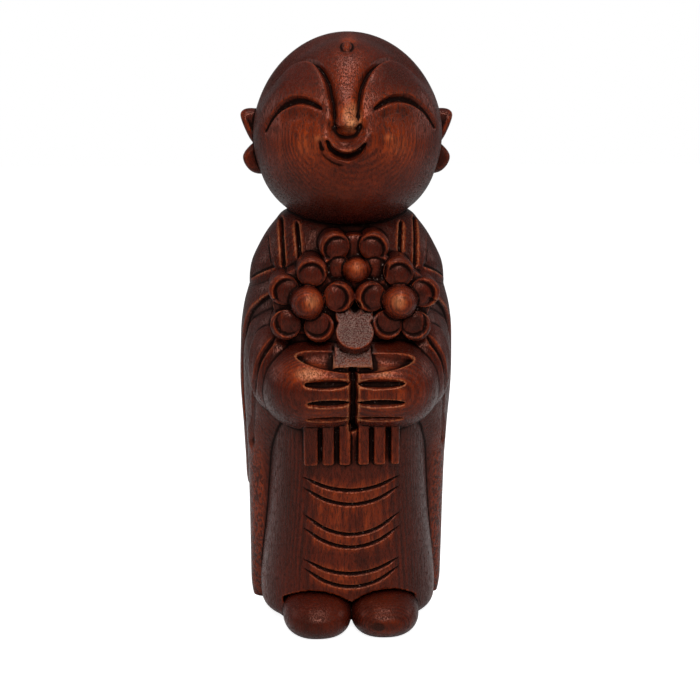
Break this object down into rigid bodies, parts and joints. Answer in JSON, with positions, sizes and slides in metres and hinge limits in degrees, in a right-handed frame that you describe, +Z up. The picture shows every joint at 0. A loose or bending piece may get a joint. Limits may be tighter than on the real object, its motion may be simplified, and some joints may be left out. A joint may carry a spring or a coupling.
{
  "type": "carved monk statue",
  "caption": "Standing smiling monk carved from one block of dark wood, round bald head, long cloak, both hands holding a bunch of flowers, flat underside.",
  "frame": {"origin": "middle of the bounding box in plan, on the flat underside", "axes": "+Z up through the crown of the head, -Y is the way the figure faces, +X is to the viewer's right from the front"},
  "size_m": [0.112, 0.1002, 0.3],
  "materials": {
    "carved_wood": "dark red-brown stain under satin wax, near-black in the gouge lines, worn orange-brown on the high spots"
  },
  "bodies": {
    "root": {"monk_figure": "carved_wood"}
  },
  "joints": []
}
